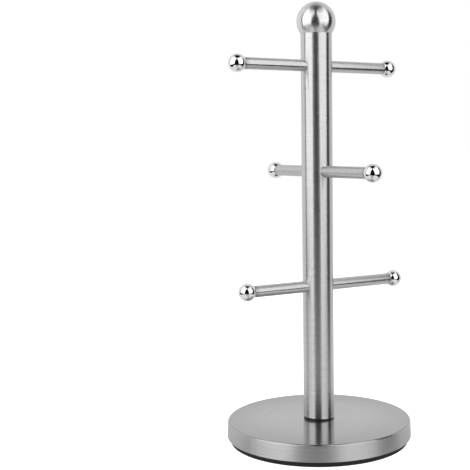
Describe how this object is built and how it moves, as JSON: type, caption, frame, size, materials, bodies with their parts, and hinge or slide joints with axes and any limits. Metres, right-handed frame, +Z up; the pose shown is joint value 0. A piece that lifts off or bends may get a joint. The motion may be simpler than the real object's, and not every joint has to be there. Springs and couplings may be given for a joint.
{
  "type": "mug tree",
  "caption": "Stainless steel mug tree: round weighted base, upright tube, tiers of crossed through rods with ball ends, ball finial and non-slip pad.",
  "frame": {"origin": "centre of the underside of the base, on the axis of the tube, where the part rests on a table", "axes": "+Z up along the tube; the upper and lower rods lie along X and the middle rod along Y, with its nearer end towards -Y"},
  "size_m": [0.1611, 0.1576, 0.353],
  "materials": {
    "base_steel": "satin, fine circular brushing",
    "pole_steel": "satin, fine circular brushing",
    "rod_steel": "satin, fine circular brushing",
    "finial_steel": "satin, fine circular brushing",
    "ball_chrome": "polished",
    "pad_foam": "matt black",
    "gasket_plastic": "matt black",
    "plate_steel": "grey primer",
    "weight_iron": "as cast",
    "turned_steel": "turned",
    "zinc_steel": "zinc plated"
  },
  "bodies": {
    "root": {"base_pad": "pad_foam", "bottom_plate": "plate_steel", "base_weight": "weight_iron", "base_shell": "base_steel", "flat_washer": "zinc_steel", "spring_washer": "zinc_steel", "fixing_screw": "zinc_steel", "foot_gasket": "gasket_plastic", "pole_tube": "pole_steel", "pole_insert": "turned_steel", "finial_plug": "turned_steel", "finial_stud": "zinc_steel", "finial_ball": "finial_steel", "rod_upper": "rod_steel", "ball_upper_left": "ball_chrome", "stud_upper_left": "zinc_steel", "ball_upper_right": "ball_chrome", "stud_upper_right": "zinc_steel", "rod_middle": "rod_steel", "ball_middle_left": "ball_chrome", "stud_middle_left": "zinc_steel", "ball_middle_right": "ball_chrome", "stud_middle_right": "zinc_steel", "rod_lower": "rod_steel", "ball_lower_left": "ball_chrome", "stud_lower_left": "zinc_steel", "ball_lower_right": "ball_chrome", "stud_lower_right": "zinc_steel"}
  },
  "joints": []
}
